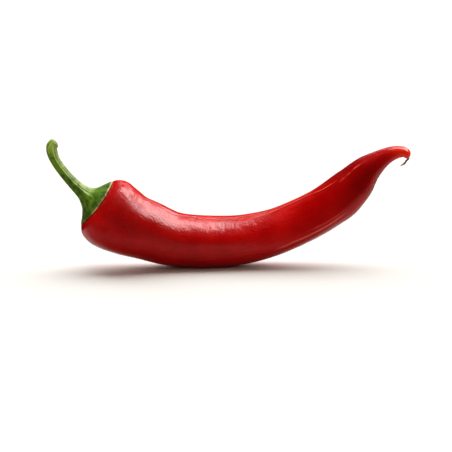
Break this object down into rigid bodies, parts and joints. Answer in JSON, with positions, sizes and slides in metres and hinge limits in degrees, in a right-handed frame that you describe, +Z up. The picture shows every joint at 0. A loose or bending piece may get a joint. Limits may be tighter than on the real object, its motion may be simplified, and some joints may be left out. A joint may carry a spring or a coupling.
{
  "type": "chilli pepper",
  "caption": "Whole fresh red chilli pepper, a long curved pod with a hooked tip, green calyx and stem, resting on its belly.",
  "frame": {"origin": "on the resting surface, under the middle of the pepper's box", "axes": "+X along the pod from the stem to the hooked tip, +Z up, the pod's front faces -Y"},
  "size_m": [0.1381, 0.0264, 0.05],
  "materials": {
    "red_skin": "gloss",
    "green_tissue": "satin",
    "dry_tissue": "matte"
  },
  "bodies": {
    "root": {"fruit": "red_skin", "stem_and_calyx": "green_tissue", "dried_style": "dry_tissue"}
  },
  "joints": []
}
